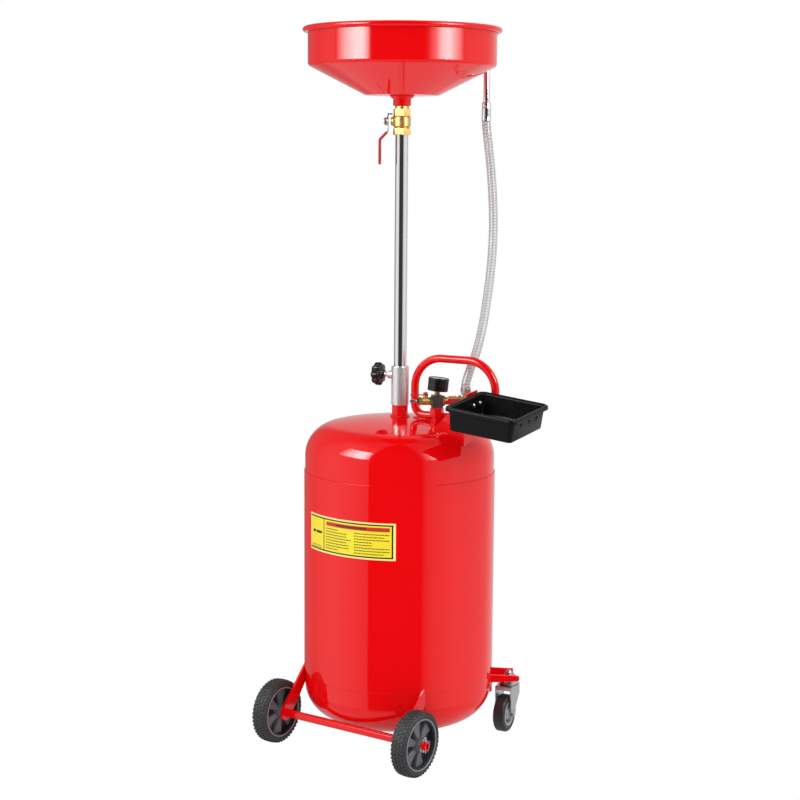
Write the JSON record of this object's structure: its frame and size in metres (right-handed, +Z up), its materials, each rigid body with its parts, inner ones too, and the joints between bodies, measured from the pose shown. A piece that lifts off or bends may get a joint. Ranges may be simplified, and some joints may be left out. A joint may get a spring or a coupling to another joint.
{
  "type": "oil drain pan",
  "caption": "Wheeled upright tank with a funnel bowl on a sliding mast, drain valve, clamp knob, tube handle, air manifold with gauge, tool tray and wire-helix discharge hose.",
  "frame": {"origin": "centre of the footprint (plan bounding box without the hose and its nozzle) on the floor", "axes": "+Z up along the mast, -Y towards the big wheels and the label, +Y towards the casters, +X towards the tool tray"},
  "size_m": [0.5636, 0.4736, 1.4993],
  "materials": {
    "red_paint": "gloss enamel",
    "chrome": "polished",
    "brushed_steel": "brushed",
    "zinc_steel": "zinc plated",
    "brass": "machined, lightly tarnished",
    "black_plastic": "satin moulded",
    "wheel_plastic": "dark grey moulded",
    "hub_plastic": "grey moulded",
    "tyre_rubber": "semi-pneumatic, block tread",
    "caster_rubber": "smooth",
    "red_vinyl": "dipped grip",
    "clear_pvc": "clear hose with a wire helix",
    "dial_face": "printed dial",
    "needle": "matt",
    "lens": "clear",
    "label_film": null
  },
  "bodies": {
    "tank": {"tank_shell": "red_paint", "top_head": "red_paint", "bottom_head": "red_paint", "mast_socket": "red_paint", "mast_sleeve": "brushed_steel", "handle": "red_paint", "tray_bracket": "red_paint", "tool_tray": "black_plastic", "tray_screws": "zinc_steel", "manifold_riser": "red_paint", "manifold_block": "zinc_steel", "dip_tube": "zinc_steel", "gauge_stem": "brass", "gauge_case": "black_plastic", "gauge_dial": "dial_face", "gauge_lens": "lens", "air_valve_body": "brass", "air_plug": "chrome", "discharge_valve_body": "brass", "hose_elbow": "brass", "hose_clamp": "zinc_steel", "hose": "clear_pvc", "axle_tube": "red_paint", "left_axle_bracket": "red_paint", "right_axle_bracket": "red_paint", "axle_washers": "zinc_steel", "cotter_pins": "zinc_steel", "left_caster_bracket": "red_paint", "right_caster_bracket": "red_paint", "caster_kingpins": "zinc_steel", "caster_races": "zinc_steel", "label": "label_film"},
    "mast": {"mast_tube": "chrome", "nozzle_tube": "chrome", "hose_ferrule": "chrome"},
    "bowl_head": {"bowl": "red_paint", "bowl_spud": "red_paint", "bowl_strainer": "zinc_steel", "drain_valve_body": "brass"},
    "drain_valve_handle": {"drain_valve_ball": "chrome", "drain_lever": "zinc_steel", "drain_lever_sleeve": "red_vinyl", "drain_lever_nut": "zinc_steel"},
    "clamp_screw": {"clamp_knob": "black_plastic", "clamp_stud": "zinc_steel"},
    "left_wheel": {"left_wheel_rim": "wheel_plastic", "left_wheel_tyre": "tyre_rubber"},
    "right_wheel": {"right_wheel_rim": "wheel_plastic", "right_wheel_tyre": "tyre_rubber"},
    "left_caster": {"left_caster_fork": "zinc_steel", "left_caster_axle": "zinc_steel"},
    "right_caster": {"right_caster_fork": "zinc_steel", "right_caster_axle": "zinc_steel"},
    "left_caster_wheel": {"left_caster_hub": "hub_plastic", "left_caster_tyre": "caster_rubber"},
    "right_caster_wheel": {"right_caster_hub": "hub_plastic", "right_caster_tyre": "caster_rubber"},
    "air_valve_handle": {"air_valve_lever": "red_vinyl"},
    "discharge_valve_handle": {"discharge_valve_lever": "red_vinyl"},
    "gauge_pointer": {"gauge_needle": "needle"}
  },
  "joints": [
    {"name": "mast_slide", "type": "slide", "parent": "tank", "child": "mast", "axis": [0, 0, 1], "range_m": [-0.36, 0], "deforming": ["hose"]},
    {"name": "bowl_turn", "type": "hinge", "parent": "mast", "child": "bowl_head", "pos_m": [-0.07547, 0.0286, 1.281], "axis": [0, 0, 1], "continuous": true},
    {"name": "drain_valve_turn", "type": "hinge", "parent": "bowl_head", "child": "drain_valve_handle", "pos_m": [-0.07547, 0.0286, 1.296], "axis": [-0.8192, -0.5736, 0], "range_deg": [0, 90]},
    {"name": "clamp_screw_turn", "type": "hinge", "parent": "tank", "child": "clamp_screw", "pos_m": [-0.07547, 0.0286, 0.774], "axis": [-0.9848, -0.1736, 0], "continuous": true},
    {"name": "left_wheel_spin", "type": "hinge", "parent": "tank", "child": "left_wheel", "pos_m": [-0.25147, -0.1644, 0.0667], "axis": [1, 0, 0], "continuous": true},
    {"name": "right_wheel_spin", "type": "hinge", "parent": "tank", "child": "right_wheel", "pos_m": [0.10053, -0.1644, 0.0667], "axis": [1, 0, 0], "continuous": true},
    {"name": "left_caster_swivel", "type": "hinge", "parent": "tank", "child": "left_caster", "pos_m": [-0.24947, 0.1966, 0.1], "axis": [0, 0, 1], "continuous": true},
    {"name": "left_caster_spin", "type": "hinge", "parent": "left_caster", "child": "left_caster_wheel", "pos_m": [-0.24565, 0.17493, 0.04], "axis": [0.9848, 0.1736, 0], "continuous": true},
    {"name": "right_caster_swivel", "type": "hinge", "parent": "tank", "child": "right_caster", "pos_m": [0.09853, 0.1966, 0.1], "axis": [0, 0, 1], "continuous": true},
    {"name": "right_caster_spin", "type": "hinge", "parent": "right_caster", "child": "right_caster_wheel", "pos_m": [0.10235, 0.17493, 0.04], "axis": [0.9848, 0.1736, 0], "continuous": true},
    {"name": "air_valve_turn", "type": "hinge", "parent": "tank", "child": "air_valve_handle", "pos_m": [0.00956, -0.00237, 0.73], "axis": [0, 0, 1], "range_deg": [0, 90]},
    {"name": "discharge_valve_turn", "type": "hinge", "parent": "tank", "child": "discharge_valve_handle", "pos_m": [0.04986, 0.03794, 0.73], "axis": [0.7071, -0.7071, 0], "range_deg": [0, 90]},
    {"name": "gauge_needle_turn", "type": "hinge", "parent": "tank", "child": "gauge_pointer", "pos_m": [0.02867, 0.01674, 0.77084], "axis": [0.0739, 0.0739, 0.9945], "range_deg": [-270, 0], "stiffness_Nm_per_rad": 0.0005}
  ]
}
